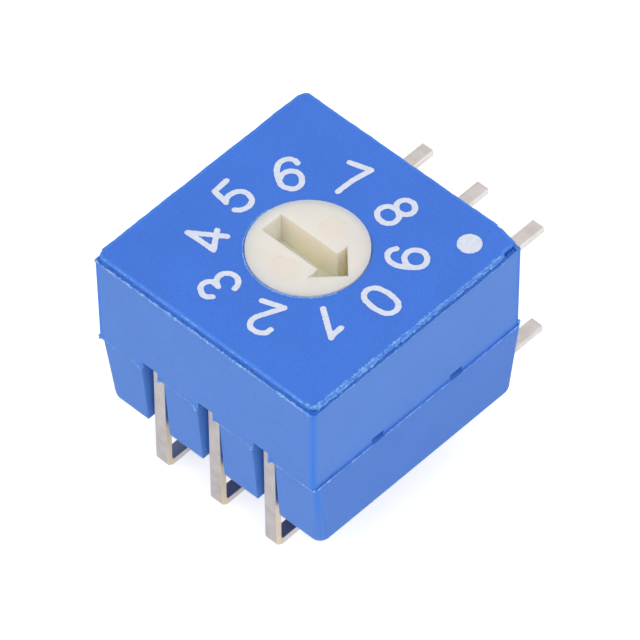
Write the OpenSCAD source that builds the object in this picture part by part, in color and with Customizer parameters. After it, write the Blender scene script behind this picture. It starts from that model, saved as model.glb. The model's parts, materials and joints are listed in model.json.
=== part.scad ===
// Ten-position rotary coded switch with right-angle leads.
// Millimetres, +Z up along the dial axis, which passes through the origin. The origin lies in the
// plane of the lower leads' undersides, on which the switch stands. The bent leads leave the
// housing at -Y, and all six leads end at +Y, square to the board that they are soldered in.

/* [Body] */
// Width of the housing across the leads, along X, at the rim
body_w = 10; // [9.8:0.1:14]
// Depth of the housing along Y, at the rim
body_d = 10; // [9.8:0.1:14]
// Height of the upper walls, from the parting line to the rim
upper_h = 3.87; // [3.5:0.01:6]
// Height of the lower block, from the parting line to the underside
lower_h = 3.3; // [2.8:0.1:4.2]
// Side wall around the cavity
wall_t = 1.1; // [1.05:0.05:1.4]
// Radius of the upper walls' upright corners
corner_r = 0.1; // [0.06:0.01:0.3]
// Radius of the lower block's upright corners
low_corner_r = 0.1; // [0.06:0.01:0.5]
// Radius of the housing's bottom corners
under_r = 0.45; // [0.25:0.05:0.6]
// Draft of the upper walls on each X side, over their whole height
upper_draft = 0.08; // [0:0.01:0.15]
// How much narrower the lower block is at the parting line, on each side
parting_step = 0.055; // [0.055:0.005:0.12]
// Mismatch of the two mould halves: the lower block lies this far towards +X and +Y
mould_shift = 0.05; // [0:0.005:0.05]
// Draft of the lower block on each X side
lower_draft_x = 0.05; // [0.05:0.01:0.12]
// Draft of the lower block on each Y side
lower_draft_y = 0.2; // [0.1:0.05:0.2]
// Height of the four pockets in the underside
pocket_h = 2.2; // [1:0.1:2.4]
// Thickness of the ribs between the pockets
pocket_rib = 0.9; // [0.6:0.1:2]
// Wall left around the pockets at the underside
pocket_wall = 1.6; // [1.5:0.1:2]

/* [Cover] */
// Height of the cover's face above the rim
cover_rise = 0.27; // [0.2:0.01:0.8]
// Thickness of the rim around the cover
rim_t = 0.14; // [0.1:0.01:0.3]
// Depth of the cover's seat below the rim
seat_depth = 0.5; // [0.3:0.05:1]
// Plan radius of the cover's corners
cover_corner_r = 0.28; // [0.2:0.01:0.6]
// Height of the cover's spigot inside the cavity
spigot_h = 1.2; // [1:0.05:1.6]
// Distance of the cover's lip inside the housing's sides
lip_inset = 0.05; // [0.02:0.01:0.1]
// How much further the lip reaches at +Y
lip_back = 0.1; // [0:0.01:0.12]
// Thickness of the lip, which leaves a groove above the rim
lip_t = 0.15; // [0.1:0.01:0.19]
// Length of the notch in the lip beside the index dot, along the +Y edge
notch_x = 0.97; // [0.4:0.01:1.2]
// Length of that notch along the +X edge
notch_y = 0.72; // [0.4:0.01:1.2]
// Depth of that notch from the lip's +X edge
notch_in = 0.12; // [0.08:0.01:0.2]
// Depth that it reaches from the lip's +Y edge at the corner
notch_drop = 0.17; // [0.08:0.01:0.25]
// Depth of the pit under that notch, below the rim
pit_low = 0.2; // [0.1:0.01:0.3]
// Thickness of the rim beside that pit
pit_rim = 0.07; // [0.05:0.01:0.08]

/* [Leads] */
// Pitch of the three leads in a row
lead_pitch = 2.54; // [2.4:0.01:3.1]
// Distance between the two rows of lead ends
row_pitch = 5.08; // [4.9:0.01:6.2]
// Width of a lead
lead_w = 0.52; // [0.4:0.01:0.64]
// Thickness of the lead frame's strip
lead_t = 0.28; // [0.2:0.01:0.34]
// Length of the lead ends beyond the housing's pin side
lead_out = 3.55; // [2:0.05:5]
// Inner radius of the leads' bends
bend_r = 0.1; // [0.06:0.01:0.16]
// Distance of a bent leg's outer face inside the housing's side
leg_inset = 0.38; // [0.3:0.01:0.4]
// Width of the slots that hold the legs
slot_w = 0.98; // [0.9:0.01:1.2]
// Depth of those slots below the housing's side
slot_d = 0.8; // [0.78:0.01:0.85]
// Radius of the slots' upright outer edges
slot_r = 0.12; // [0.08:0.01:0.3]
// Radius of the corners where the slots run out at the underside
slot_low_r = 0.45; // [0.2:0.05:0.6]
// Width of the tie bars, which are broken off in pits on the X sides
tie_w = 0.5; // [0.3:0.01:0.6]
// Distance of the tie bars from the middle
tie_y = 1.9; // [1.6:0.05:2.2]
// Depth of the pits in the X sides
pit_d = 0.3; // [0.15:0.01:0.5]

/* [Lead frame] */
// Inner radius of the common contact ring
common_r = 0.72; // [0.68:0.01:0.8]
// Width of each contact land
land_w = 0.4; // [0.32:0.01:0.44]
// Width of the strips that join the lands of one code
joint_w = 0.2; // [0.15:0.01:0.22]
// Moulding left between neighbouring tracks
insul_w = 0.16; // [0.12:0.01:0.18]
// Half of the angle that one land covers, in degrees
land_half = 14; // [10:1:16]
// Drop of the common strip below the code terminals
common_drop = 0.58; // [0.4:0.01:0.7]

/* [Rotor] */
// Diameter of the dial face
dial_d = 4.2; // [3.6:0.05:5.2]
// Height of the dial face above the cover's
dial_rise = 0.06; // [0:0.01:0.3]
// Radius of the detent flange over its lobes
flange_r = 3.5; // [3.4:0.05:3.6]
// Thickness of the detent flange
flange_t = 1.35; // [1.1:0.05:1.5]
// Number of positions
positions = 10; // [10:1:10]
// Depth of the detent hollows
hollow_d = 0.3; // [0.15:0.01:0.35]
// Radius of the detent hollows
hollow_r = 0.9; // [0.7:0.05:1.1]
// Diameter of the pivot under the rotor
pivot_d = 0.9; // [0.6:0.05:1]
// Length of the pivot below the cavity's floor
pivot_l = 0.86; // [0.5:0.01:1]
// Depth of the driver recess
arrow_depth = 1.3; // [0.8:0.05:1.5]
// Width of the driver recess's shaft
arrow_w = 0.96; // [0.7:0.01:1.2]
// Distance from the dial's middle to the arrow's tip
arrow_tip = 1.84; // [1.6:0.01:1.95]
// Distance from the dial's middle to the shaft's tail
arrow_tail = 1.67; // [1.2:0.01:1.8]
// Width of the arrow head
head_w = 1.88; // [1.5:0.01:2]
// Diameter of the two round moulding marks on the dial
mark_d = 0.95; // [0.5:0.05:1]
// Distance of those marks from the dial's middle
mark_y = 1.2; // [1.1:0.01:1.4]
// Diameter of the pegs that hold the contact brush
peg_d = 0.6; // [0.5:0.05:0.7]

/* [Seal] */
// Section of the sealing ring
seal_d = 0.8; // [0.6:0.05:0.85]

/* [Click spring] */
// Thickness of the leaf
leaf_t = 0.12; // [0.08:0.01:0.16]
// Height of the leaf
leaf_h = 0.9; // [0.6:0.05:1]
// Radius of the leaf's nose at the middle of its thickness
nose_r = 0.3; // [0.25:0.01:0.4]

/* [Contact brush] */
// Thickness of the brush's strip
brush_t = 0.1; // [0.06:0.01:0.14]
// Width of a contact finger
finger_w = 0.2; // [0.14:0.01:0.24]
// Length of a contact finger
finger_l = 0.95; // [0.8:0.05:1.2]

/* [Fits] */
// Gap between the cover and the rim
cover_gap = 0.03; // [0.03:0.01:0.1]
// Gap between the cover's spigot and the cavity
spigot_gap = 0.05; // [0.02:0.01:0.1]
// Radial running clearance of the dial in the cover
dial_clear = 0.03; // [0.02:0.01:0.1]
// Radial running clearance of the pivot
pivot_clear = 0.05; // [0.02:0.01:0.1]
// Axial play of the rotor
end_play = 0.05; // [0.02:0.01:0.1]
// Clearance around the sealing ring
seal_clear = 0.02; // [0.01:0.01:0.05]
// Gap between the click spring's nose and the detent hollow
click_clear = 0.03; // [0.02:0.01:0.08]
// Gap between the contact fingers and the lands
contact_clear = 0.02; // [0.01:0.01:0.05]
// Room beside and above a lead where it leaves the upper walls
notch_clear = 0.07; // [0.02:0.01:0.1]

/* [Hidden] */
$fn = 64;

// How far the pit under the index notch goes in behind the cover's side
pit_back = 0.08;
// Thin slab that shapes the ends of a drafted block
skin = 0.02;
// Length by which a cut runs past the face that it opens
past = 1;

// Heights
part_z = row_pitch;
floor_z = part_z + lead_t;
rim_z = part_z + upper_h;
top_z = rim_z + cover_rise;
dial_z = top_z + dial_rise;
under_z = part_z - lower_h;
seat_z = rim_z - seat_depth;
spigot_z = seat_z - spigot_h;
flange_top = spigot_z - end_play;
flange_z = flange_top - flange_t;
boss_z = floor_z + contact_clear;
pivot_z = floor_z - pivot_l;
pivot_hole_z = pivot_z - 2 * end_play;
seal_z = flange_top + seal_clear + seal_d / 2;
seal_seat_z = seal_z + seal_d / 2 + seal_clear;
common_z = part_z - common_drop;
leaf_z = flange_z + (flange_t - leaf_h) / 2;

// Plan sizes
half_w = body_w / 2;
half_d = body_d / 2;
cav_w = body_w - 2 * wall_t;
cav_d = body_d - 2 * wall_t;
cavity_r = 0.5;
seat_w = body_w - 2 * rim_t;
seat_l = body_d - 2 * rim_t;
cover_w = seat_w - 2 * cover_gap;
cover_d = seat_l - 2 * cover_gap;
lip_w = body_w - 2 * lip_inset;
lip_d = body_d - 2 * lip_inset;
low_w = body_w - 2 * parting_step;
low_d = body_d - 2 * parting_step;
under_w = low_w - 2 * lower_draft_x;
under_d = low_d - 2 * lower_draft_y;
lower_tilt = atan(lower_draft_y / lower_h);

// Leads
leg_y = half_d - leg_inset;
slot_back = half_d - slot_d;
tip_y = half_d + lead_out;
bend_out = bend_r + lead_t;
lead_end = half_d - wall_t - 0.45;
notch_w = lead_w + 2 * notch_clear;

// Contact tracks, from the middle outwards: common, code 1, code 2, code 4, code 8
step_angle = 360 / positions;
brush_angle = 158;
common_out = common_r + land_w;
track_1 = common_out + insul_w;
track_1_out = track_1 + joint_w + 0.7 * land_w;
track_2 = track_1_out + insul_w;
track_2_out = track_2 + joint_w + 0.7 * land_w;
track_4 = track_2_out + insul_w;
track_4_out = track_4 + land_w - 0.04;
track_8 = track_4_out + insul_w;
track_8_out = track_8 + land_w - 0.04;
finger_at = [
    (common_r + common_out) / 2,
    track_1_out - 0.35 * land_w,
    track_2_out - 0.35 * land_w,
    (track_4 + track_4_out) / 2,
    (track_8 + track_8_out) / 2
];

// Rotor and seal
dial_r = dial_d / 2;
seal_r = dial_r + seal_clear + seal_d / 2;
pivot_r = pivot_d / 2;
boss_r = common_r - 0.1;
brush_r = flange_r;
peg_x = 1.7;
peg_y = -2.3;
peg_head_r = peg_d / 2 + 0.15;
mark_depth = 0.02;
hollow_at = flange_r - hollow_d + hollow_r;

// Click spring: the nose sits in the hollow at -X
nose_x = -(flange_r - hollow_d + click_clear + leaf_t / 2 + nose_r);
arm_x = -(cav_w / 2 - 0.04 - leaf_t / 2);
arm_y = cav_d / 2 - 0.6;
post_r = 0.3;
post_x = arm_x + leaf_t / 2 + 0.04 + post_r;
ledge_w = 0.75;
ledge_d = 0.95;

function polar(r, a) = [r * cos(a), r * sin(a)];
function land_angle(k) = brush_angle - k * step_angle;
function exit_r(track, w) = track + w / 2 + 0.02;

// Rectangle about the origin with round corners
module rounded_rect(w, d, r) {
    square([w - 2 * r, d], center = true);
    square([w, d - 2 * r], center = true);
    for (sx = [-1, 1])
        for (sy = [-1, 1])
            translate([sx * (w / 2 - r), sy * (d / 2 - r)])
                circle(r = r);
}

// What a round edge takes off a square corner at the origin
module edge_waste(r) {
    difference() {
        square([r, r]);
        translate([r, r])
            circle(r = r);
    }
}

// Flat strip between two points, with round ends
module strap(p, q, w) {
    run = q - p;
    translate(p)
        rotate(atan2(run[1], run[0]))
            translate([0, -w / 2])
                square([norm(run), w]);
    translate(p)
        circle(d = w);
    translate(q)
        circle(d = w);
}

// Part of a ring between two angles
module ring_part(r_in, r_out, from, to) {
    steps = ceil((to - from) / 30);
    fan = [for (i = [0:steps]) polar(3 * r_out, from + (to - from) * i / steps)];
    intersection() {
        difference() {
            circle(r = r_out);
            circle(r = r_in);
        }
        polygon(concat([[0, 0]], fan));
    }
}

// Arc that joins the lands from first to last
module joint(r_in, first, last) {
    ring_part(r_in, r_in + joint_w, land_angle(last), land_angle(first));
}

// Contact land under the positions from first to last
module land(r_in, r_out, first, last) {
    ring_part(r_in, r_out, land_angle(last) - land_half, land_angle(first) + land_half);
}

// Side view of something, drawn as [y, z], given a width along X about x
module side_view(x, w) {
    translate([x - w / 2, 0, 0])
        rotate([90, 0, 90])
            linear_extrude(w)
                children();
}

// Quarter of a bend about the origin, in the quadrant [qy, qz]
module quarter_bend(qy, qz) {
    intersection() {
        difference() {
            circle(r = bend_out);
            circle(r = bend_r);
        }
        translate([qy > 0 ? 0 : -bend_out, qz > 0 ? 0 : -bend_out])
            square(bend_out);
    }
}

// Side view of a straight lead of the upper row, from the distance inner on
module straight_lead(inner) {
    translate([inner, part_z])
        square([tip_y - inner, lead_t]);
}

// Side view of a lead of the lower row: out at the seam, down its slot and back under the housing
module bent_lead(inner) {
    translate([-leg_y + bend_out, part_z])
        square([leg_y - bend_out - inner, lead_t]);
    translate([-leg_y + bend_out, part_z + lead_t - bend_out])
        quarter_bend(-1, 1);
    translate([-leg_y, bend_out])
        square([lead_t, part_z + lead_t - 2 * bend_out]);
    translate([-leg_y + bend_out, bend_out])
        quarter_bend(-1, -1);
    translate([-leg_y + bend_out, 0])
        square([leg_y - bend_out + tip_y, lead_t]);
}

// Strip in the lead frame's plane
module frame_strip() {
    translate([0, 0, part_z])
        linear_extrude(lead_t)
            children();
}

// Tie bar from a point of the blank to its broken end in the pit at [sx, sy]
module tie_bar(from, sx, sy) {
    reach = half_w - pit_d;
    strap(from, [sx * (cav_w / 2 - 0.2), sy * tie_y], tie_w);
    translate([sx > 0 ? cav_w / 2 - 0.2 : -reach, sy * tie_y - tie_w / 2])
        square([reach - cav_w / 2 + 0.2, tie_w]);
}

module terminal_1() {
    exit = polar(exit_r(track_1, lead_w), land_angle(1));
    color("lightgray") {
        side_view(-lead_pitch, lead_w)
            straight_lead(lead_end);
        frame_strip() {
            joint(track_1, 1, 9);
            for (k = [1:2:9])
                land(track_1, track_1_out, k, k);
            strap(exit, [-lead_pitch, lead_end], lead_w);
            tie_bar([-lead_pitch, lead_end], -1, 1);
        }
    }
}

module terminal_2() {
    exit = polar(exit_r(track_2, lead_w), atan2(lead_end, lead_pitch));
    color("lightgray") {
        side_view(lead_pitch, lead_w)
            straight_lead(lead_end);
        frame_strip() {
            joint(track_2, 2, 7);
            land(track_2, track_2_out, 2, 3);
            land(track_2, track_2_out, 6, 7);
            strap(exit, [lead_pitch, lead_end], lead_w);
            tie_bar([lead_pitch, lead_end], 1, 1);
        }
    }
}

module terminal_4() {
    exit = polar(exit_r(track_4, lead_w), atan2(-lead_end, lead_pitch));
    color("lightgray") {
        side_view(lead_pitch, lead_w)
            bent_lead(lead_end);
        frame_strip() {
            land(track_4, track_4_out, 4, 7);
            strap(exit, [lead_pitch, -lead_end], lead_w);
            tie_bar(polar(exit_r(track_4, tie_w), -30), 1, -1);
        }
    }
}

module terminal_8() {
    exit = polar(exit_r(track_8, lead_w), atan2(-lead_end, -lead_pitch));
    color("lightgray") {
        side_view(-lead_pitch, lead_w)
            bent_lead(lead_end);
        frame_strip() {
            land(track_8, track_8_out, 8, 9);
            strap(exit, [-lead_pitch, -lead_end], lead_w);
            tie_bar(polar(exit_r(track_8, tie_w), 205), -1, -1);
        }
    }
}

// The common terminal joins the middle lead of each row by a strip set below the others,
// with a drawn collar in the middle that comes up flush with them
module terminal_common() {
    outer = half_d - wall_t + 0.1;
    inner = outer - 0.5;
    color("lightgray")
        difference() {
            union() {
                side_view(0, lead_w) {
                    straight_lead(outer - 0.02);
                    bent_lead(outer - 0.02);
                    polygon([
                        [-outer, part_z],
                        [-inner, common_z],
                        [inner, common_z],
                        [outer, part_z],
                        [outer, part_z + lead_t],
                        [outer - 0.15, part_z + lead_t],
                        [inner - 0.12, common_z + lead_t],
                        [-inner + 0.12, common_z + lead_t],
                        [-outer + 0.15, part_z + lead_t],
                        [-outer, part_z + lead_t]
                    ]);
                }
                translate([0, 0, common_z])
                    cylinder(r = common_out, h = floor_z - common_z);
            }
            translate([0, 0, common_z - past])
                cylinder(r = common_r, h = floor_z - common_z + 2 * past);
        }
}

module lead_frame() {
    terminal_1();
    terminal_2();
    terminal_4();
    terminal_8();
    terminal_common();
}

// Outside of the housing: drafted upper walls and a drafted block with a round underside
module housing_block() {
    hull() {
        translate([0, 0, part_z])
            linear_extrude(skin)
                rounded_rect(body_w - 2 * upper_draft, body_d, corner_r);
        translate([0, 0, rim_z - skin])
            linear_extrude(skin)
                rounded_rect(body_w, body_d, corner_r);
    }
    translate([mould_shift, mould_shift, 0])
        hull() {
            translate([0, 0, part_z - skin])
                linear_extrude(2 * skin)
                    rounded_rect(low_w, low_d, low_corner_r);
            translate([0, 0, under_z])
                linear_extrude(skin)
                    square([under_w - 2 * under_r, under_d - 2 * under_r], center = true);
            for (sx = [-1, 1])
                for (sy = [-1, 1])
                    translate([sx * (under_w / 2 - under_r), sy * (under_d / 2 - under_r), under_z + under_r])
                        sphere(r = under_r, $fn = 32);
        }
}

// Slot for one leg in the -Y side, with round outer and lower edges. The lower block's side is at -face
module slot(x, face) {
    translate([x - slot_w / 2, -half_d - past, under_z - past])
        cube([slot_w, past + slot_d, lower_h + past]);
    for (s = [-1, 1])
        translate([x + s * slot_w / 2, -face, part_z])
            mirror([s < 0 ? 1 : 0, 0, 0]) {
                rotate([lower_tilt, 0, 0])
                    translate([0, 0, -lower_h - past])
                        linear_extrude(lower_h + past)
                            translate([-0.01, -0.01])
                                edge_waste(slot_r);
                translate([-0.01, slot_d - half_d + face, -lower_h - 0.01])
                    rotate([90, 0, 0])
                        linear_extrude(slot_d + past)
                            edge_waste(slot_low_r);
            }
}

// Passage of one lead through the upper wall, above the parting line
module lead_notch(x) {
    translate([x - notch_w / 2, -half_d - past, part_z])
        cube([notch_w, past + slot_d, lead_t + notch_clear / 2]);
}

// Pit of a broken tie bar, in the +X side
module tie_pit(y) {
    translate([half_w - pit_d, y - tie_w / 2 - 0.03, part_z])
        cube([pit_d + past, tie_w + 0.06, lead_t - 0.04]);
}

// Corner block that carries one end of the click spring, with its post
module spring_seat(sy) {
    translate([-cav_w / 2 - 0.1, sy > 0 ? cav_d / 2 - ledge_d : -cav_d / 2 - 0.1, floor_z - 0.1])
        cube([ledge_w + 0.1, ledge_d + 0.1, leaf_z - floor_z + 0.1]);
    translate([post_x, sy * (arm_y - 0.1), leaf_z - 0.1])
        cylinder(r = post_r, h = leaf_h + 0.1);
}

module housing() {
    pocket_w = (under_w - 2 * pocket_wall - pocket_rib) / 2;
    pocket_d = (under_d - 2 * pocket_wall - pocket_rib) / 2;
    color("royalblue")
        difference() {
            union() {
                difference() {
                    housing_block();
                    translate([0, 0, floor_z])
                        linear_extrude(rim_z - floor_z + past)
                            rounded_rect(cav_w, cav_d, cavity_r);
                    translate([0, 0, seat_z])
                        linear_extrude(seat_depth + past)
                            rounded_rect(seat_w, seat_l, corner_r);
                    for (turn = [0, 180])
                        rotate(turn) {
                            for (i = [-1:1]) {
                                slot(i * lead_pitch, low_d / 2 + (turn > 0 ? mould_shift : -mould_shift));
                                lead_notch(i * lead_pitch);
                            }
                            tie_pit(tie_y);
                            tie_pit(-tie_y);
                        }
                    index_pit(cover_w / 2 - pit_back, -pit_rim);
                    for (sx = [-1, 1])
                        for (sy = [-1, 1])
                            translate([sx * (pocket_w + pocket_rib) / 2, sy * (pocket_d + pocket_rib) / 2, under_z - past])
                                linear_extrude(pocket_h + past)
                                    rounded_rect(pocket_w, pocket_d, 0.3);
                    translate([0, 0, pivot_hole_z])
                        cylinder(r = pivot_r + pivot_clear, h = floor_z - pivot_hole_z + past);
                }
                spring_seat(-1);
                spring_seat(1);
            }
            lead_frame();
        }
}

// Notch in the lip at the corner by the index dot: it tapers in along +Y and opens a pit along +X
module index_notch() {
    lip_x = lip_w / 2;
    lip_y = lip_d / 2 + lip_back;
    translate([0, 0, rim_z - pit_low])
        linear_extrude(top_z - rim_z + past)
            polygon([
                [lip_x - notch_x, lip_y + 0.001],
                [lip_x - notch_in, lip_y - notch_drop],
                [lip_x - notch_in, lip_y - notch_y],
                [lip_x + 0.001, lip_y - notch_y - notch_in],
                [lip_x + past, lip_y - notch_y - notch_in],
                [lip_x + past, lip_y + past],
                [lip_x - notch_x, lip_y + past]
            ]);
    index_pit(cover_w / 2 - pit_back, past);
}

// Shallow pit under the index notch, at x and as far as that from the side's outer face
module index_pit(x, wide) {
    front = lip_d / 2 + lip_back - notch_y;
    translate([x, front, rim_z - pit_low])
        cube([half_w - x + wide, notch_y - notch_drop - 0.05, top_z - lip_t - rim_z + pit_low]);
}

module cover() {
    color("royalblue")
        difference() {
            union() {
                translate([0, lip_back / 2, top_z - lip_t])
                    linear_extrude(lip_t)
                        rounded_rect(lip_w, lip_d + lip_back, cover_corner_r);
                translate([0, 0, seat_z])
                    linear_extrude(top_z - seat_z - lip_t / 2)
                        rounded_rect(cover_w, cover_d, cover_corner_r);
                translate([0, 0, spigot_z])
                    linear_extrude(spigot_h + lip_t)
                        rounded_rect(cav_w - 2 * spigot_gap, cav_d - 2 * spigot_gap, cavity_r);
            }
            index_notch();
            translate([0, 0, spigot_z - past])
                cylinder(r = dial_r + dial_clear, h = top_z - spigot_z + 2 * past);
            translate([0, 0, spigot_z - past])
                cylinder(r = seal_r + seal_d / 2 + seal_clear, h = seal_seat_z - spigot_z + past);
        }
}

// Plan of the driver recess, an arrow that points to +X
module arrow_plan() {
    neck = arrow_tip - head_w / 2;
    translate([-arrow_tail, -arrow_w / 2])
        square([arrow_tail + neck + 0.01, arrow_w]);
    polygon([[neck, -head_w / 2], [arrow_tip, 0], [neck, head_w / 2]]);
}

module rotor() {
    color("ivory")
        difference() {
            union() {
                difference() {
                    translate([0, 0, flange_z])
                        cylinder(r = flange_r, h = flange_t);
                    for (k = [0:positions - 1])
                        rotate(k * step_angle)
                            translate([hollow_at, 0, flange_z - past])
                                cylinder(r = hollow_r, h = flange_t + 2 * past);
                }
                translate([0, 0, flange_z + 0.1])
                    cylinder(r = dial_r, h = dial_z - flange_z - 0.1);
                translate([0, 0, boss_z])
                    cylinder(r = boss_r, h = flange_z - boss_z + 0.1);
                translate([0, 0, pivot_z])
                    cylinder(r = pivot_r, h = boss_z - pivot_z + 0.1);
                rotate(brush_angle)
                    for (s = [-1, 1])
                        translate([s * peg_x, peg_y, 0]) {
                            translate([0, 0, flange_z - brush_t - 0.12])
                                cylinder(d = peg_d, h = brush_t + 0.22);
                            translate([0, 0, flange_z - brush_t - 0.12])
                                cylinder(r = peg_head_r, h = 0.12);
                        }
            }
            translate([0, 0, dial_z - arrow_depth])
                linear_extrude(arrow_depth + past)
                    arrow_plan();
            for (s = [-1, 1])
                translate([0, s * mark_y, dial_z - mark_depth])
                    cylinder(d = mark_d, h = past);
        }
}

module seal_ring() {
    color("saddlebrown")
        translate([0, 0, seal_z])
            rotate_extrude()
                translate([seal_r, 0])
                    circle(d = seal_d);
}

// Leaf with a round nose, held by its ends behind the two posts
module click_spring() {
    bend = 55;
    foot = [nose_x, 0] + nose_r * [cos(bend), sin(bend)];
    knee = [arm_x + 0.12, foot[1] + (foot[0] - arm_x - 0.12) / tan(90 - bend) * 0.6];
    color("silver")
        translate([0, 0, leaf_z])
            linear_extrude(leaf_h) {
                translate([nose_x, 0])
                    ring_part(nose_r - leaf_t / 2, nose_r + leaf_t / 2, -bend, bend);
                for (s = [-1, 1]) {
                    strap([foot[0], s * foot[1]], [knee[0], s * knee[1]], leaf_t);
                    strap([knee[0], s * knee[1]], [arm_x, s * arm_y], leaf_t);
                }
            }
}

// Comb of five fingers on a plate that is staked under the rotor
module contact_brush() {
    plate_z = flange_z - brush_t;
    tip_z = floor_z + contact_clear;
    color("gold")
        rotate(brush_angle) {
            difference() {
                translate([0, 0, plate_z])
                    linear_extrude(brush_t)
                        intersection() {
                            circle(r = brush_r);
                            translate([-brush_r, -brush_r])
                                square([2 * brush_r, brush_r - finger_l]);
                        }
                for (s = [-1, 1])
                    translate([s * peg_x, peg_y, plate_z - past])
                        cylinder(d = peg_d, h = brush_t + 2 * past);
            }
            for (r = finger_at)
                side_view(r, finger_w)
                    polygon([
                        [-finger_l - 0.1, plate_z],
                        [-finger_l, plate_z],
                        [-0.12, tip_z],
                        [0.1, tip_z],
                        [0.1, tip_z + brush_t],
                        [-0.08, tip_z + brush_t],
                        [-finger_l + 0.04, plate_z + brush_t],
                        [-finger_l - 0.1, plate_z + brush_t]
                    ]);
        }
}

housing();
cover();
rotor();
seal_ring();
click_spring();
contact_brush();
terminal_1();
terminal_2();
terminal_4();
terminal_8();
terminal_common();
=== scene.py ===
"""Rotary coded switch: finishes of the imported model, printed dial, moulding flash and a plain studio."""
import json
import math

import bmesh
import bpy
import numpy as np
from mathutils import Matrix, Vector, noise

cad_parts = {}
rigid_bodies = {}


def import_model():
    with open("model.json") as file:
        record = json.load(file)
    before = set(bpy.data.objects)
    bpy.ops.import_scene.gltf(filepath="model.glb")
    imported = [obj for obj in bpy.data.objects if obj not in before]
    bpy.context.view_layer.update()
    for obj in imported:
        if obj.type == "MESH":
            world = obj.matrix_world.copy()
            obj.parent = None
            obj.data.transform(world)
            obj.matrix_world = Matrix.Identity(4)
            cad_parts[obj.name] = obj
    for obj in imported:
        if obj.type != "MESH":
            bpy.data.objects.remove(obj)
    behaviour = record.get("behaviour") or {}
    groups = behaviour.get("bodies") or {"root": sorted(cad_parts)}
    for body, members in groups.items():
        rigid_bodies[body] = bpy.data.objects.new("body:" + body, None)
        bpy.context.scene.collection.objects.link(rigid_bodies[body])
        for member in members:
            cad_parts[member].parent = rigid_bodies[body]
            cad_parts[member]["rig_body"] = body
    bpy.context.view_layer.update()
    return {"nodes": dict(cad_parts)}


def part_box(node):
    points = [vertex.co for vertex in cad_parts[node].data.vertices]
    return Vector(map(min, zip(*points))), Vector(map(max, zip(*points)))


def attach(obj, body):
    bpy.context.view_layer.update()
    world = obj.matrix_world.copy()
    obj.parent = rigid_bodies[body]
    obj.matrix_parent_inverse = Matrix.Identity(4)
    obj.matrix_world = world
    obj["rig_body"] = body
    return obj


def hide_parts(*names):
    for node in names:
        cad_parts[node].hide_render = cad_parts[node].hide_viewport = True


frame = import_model()

MM = 0.001

# ---------------------------------------------------------------- sizes, in millimetres
# Rolled edges left by the tools on each kind of piece
COVER_EDGE = 0.09
LEAD_EDGE = 0.035
# Printed figures
INK_THICKNESS = 0.012
INK_STROKE = 0.204
INK_CELL = 0.022
FIGURE_RADIUS = 3.37
# The print sits this far off the dial's axis
PRINT_OFF = (-0.055, 0.057)
# and each figure a little more
FIGURE_SHIFT = {
    0: (0.018, 0.011), 1: (-0.003, 0.011), 2: (0.022, 0.000), 3: (0.000, 0.009), 4: (-0.005, -0.019),
    5: (0.023, 0.004), 6: (0.035, -0.026), 7: (-0.009, -0.018), 8: (0.009, -0.005), 9: (-0.001, -0.014),
}
DOT_CENTRE = (3.766, 3.795)
DOT_RADIUS = 0.425
# The housing: bottom of its lower block, height at which its mould halves meet, and top of its rim
BLOCK_LOW = 1.78
PARTING = 5.06
RIM_TOP = 8.95
# The lower half of the mould is set off towards +X and +Y
MOULD_SHIFT = 0.05
# Where a wall turns its upright corner, as x + y: from bare grain to the polished corner, which also carries
# a painted highlight tone
POLISH_AND_HIGHLIGHT_FROM = 9.74
POLISH_AND_HIGHLIGHT_TO = 9.88
# The dial: depth of its recess, and the circle that the recess stays inside
RECESS_DEPTH = 1.3
RECESS_REACH = 1.88
# The bent leads' sheared sides show bronze from here towards -Y
BRONZE_FROM = -4.1
BRONZE_FULL = -4.3
# Only the cover's edges this far out are rolled
LIP_FROM = 4.6
# Where the lower block's painted shade and painted light go: this far below the parting, its +X side beyond
# SIDE_PAST in X, and its slots within SLOTS_WITHIN in X and beyond it in Y
WALLS_BELOW = 0.06
SIDE_PAST = 4.8
SLOTS_WITHIN = 4
# Sharper than this, in degrees, an edge between two faces is kept, or rolled where a piece has rolled edges
SHARP = 28
# and between the narrow faces of a rolled edge
SHARP_ROLLED = 40
# Faces across a rolled edge
ROLL_STEPS = 3


def low(node):
    """Lowest corner of a CAD node, in millimetres."""
    return np.array(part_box(node)[0]) / MM


def high(node):
    """Highest corner of a CAD node, in millimetres."""
    return np.array(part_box(node)[1]) / MM


# ---------------------------------------------------------------- nodes and colours
def colour(hex_code):
    """An sRGB hex colour as the linear values that shaders read."""
    parts = [int(hex_code[i : i + 2], 16) / 255 for i in (1, 3, 5)]
    return [c / 12.92 if c <= 0.04045 else ((c + 0.055) / 1.055) ** 2.4 for c in parts] + [1]


def add(tree, kind, inputs=None, **settings):
    """Adds one node with its settings, and fills its inputs with values or links."""
    made = tree.nodes.new(kind)
    for name, value in settings.items():
        setattr(made, name, value)
    for key, value in (inputs or {}).items():
        if isinstance(value, bpy.types.NodeSocket):
            tree.links.new(value, made.inputs[key])
        else:
            made.inputs[key].default_value = value
    return made


def per(size_mm):
    """Noise scale at which one feature has that size."""
    return 1 / (size_mm * MM)


# Sockets of a Mix node that mixes colours: its inputs, and then its output
FACTOR, FIRST, SECOND = 0, 6, 7
MIXED = 2


def blank_material(name):
    """A new material, and its tree, which is empty."""
    made = bpy.data.materials.new(name)
    made.use_nodes = True
    made.node_tree.nodes.clear()
    return made, made.node_tree


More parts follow.
